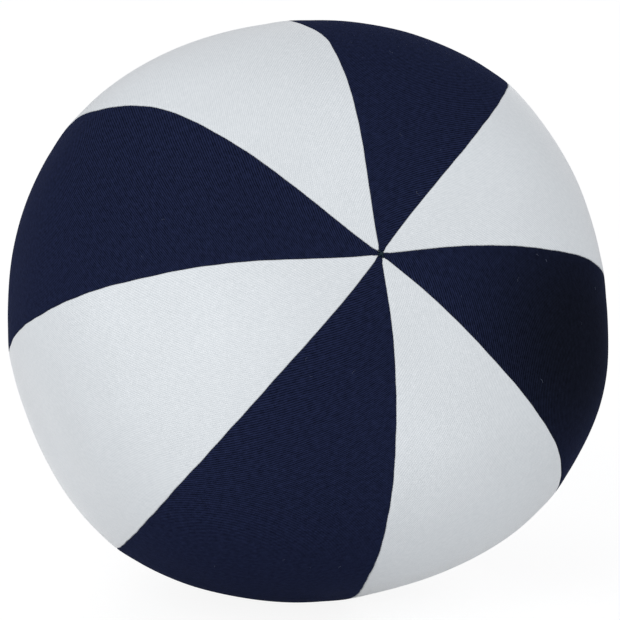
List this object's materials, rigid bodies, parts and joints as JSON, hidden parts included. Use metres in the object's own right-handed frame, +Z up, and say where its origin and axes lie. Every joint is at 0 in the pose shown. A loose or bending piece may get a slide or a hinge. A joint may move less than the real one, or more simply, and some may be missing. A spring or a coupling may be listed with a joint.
{
  "type": "stuffed cloth ball",
  "caption": "Soft round ball sewn from lens-shaped twill gores in alternating navy and white, stuffed with fibre, lying on a small flattened patch.",
  "frame": {"origin": "middle of the flattened patch that the ball rests on", "axes": "+Z up; the front pole, where the gores' points meet, looks towards -Y and 24 degrees up; +X is to the right seen from the front pole"},
  "size_m": [0.1774, 0.1632, 0.1755],
  "materials": {
    "navy_twill": "matt cotton twill, navy",
    "white_twill": "matt cotton twill, white",
    "seam_thread": "spun polyester sewing thread, navy",
    "tack_thread": "spun polyester sewing thread, dark blue",
    "fibrefill": "white polyester fibrefill"
  },
  "bodies": {
    "root": {"white_gore_1": "white_twill", "white_gore_2": "white_twill", "white_gore_3": "white_twill", "white_gore_4": "white_twill", "navy_gore_1": "navy_twill", "navy_gore_2": "navy_twill", "navy_gore_3": "navy_twill", "navy_gore_4": "navy_twill", "seam_thread_1": "seam_thread", "seam_thread_2": "seam_thread", "seam_thread_3": "seam_thread", "seam_thread_4": "seam_thread", "seam_thread_5": "seam_thread", "seam_thread_6": "seam_thread", "seam_thread_7": "seam_thread", "seam_thread_8": "seam_thread", "closing_stitch": "seam_thread", "front_pole_tack": "tack_thread", "back_pole_tack": "tack_thread", "fibrefill": "fibrefill"}
  },
  "joints": []
}
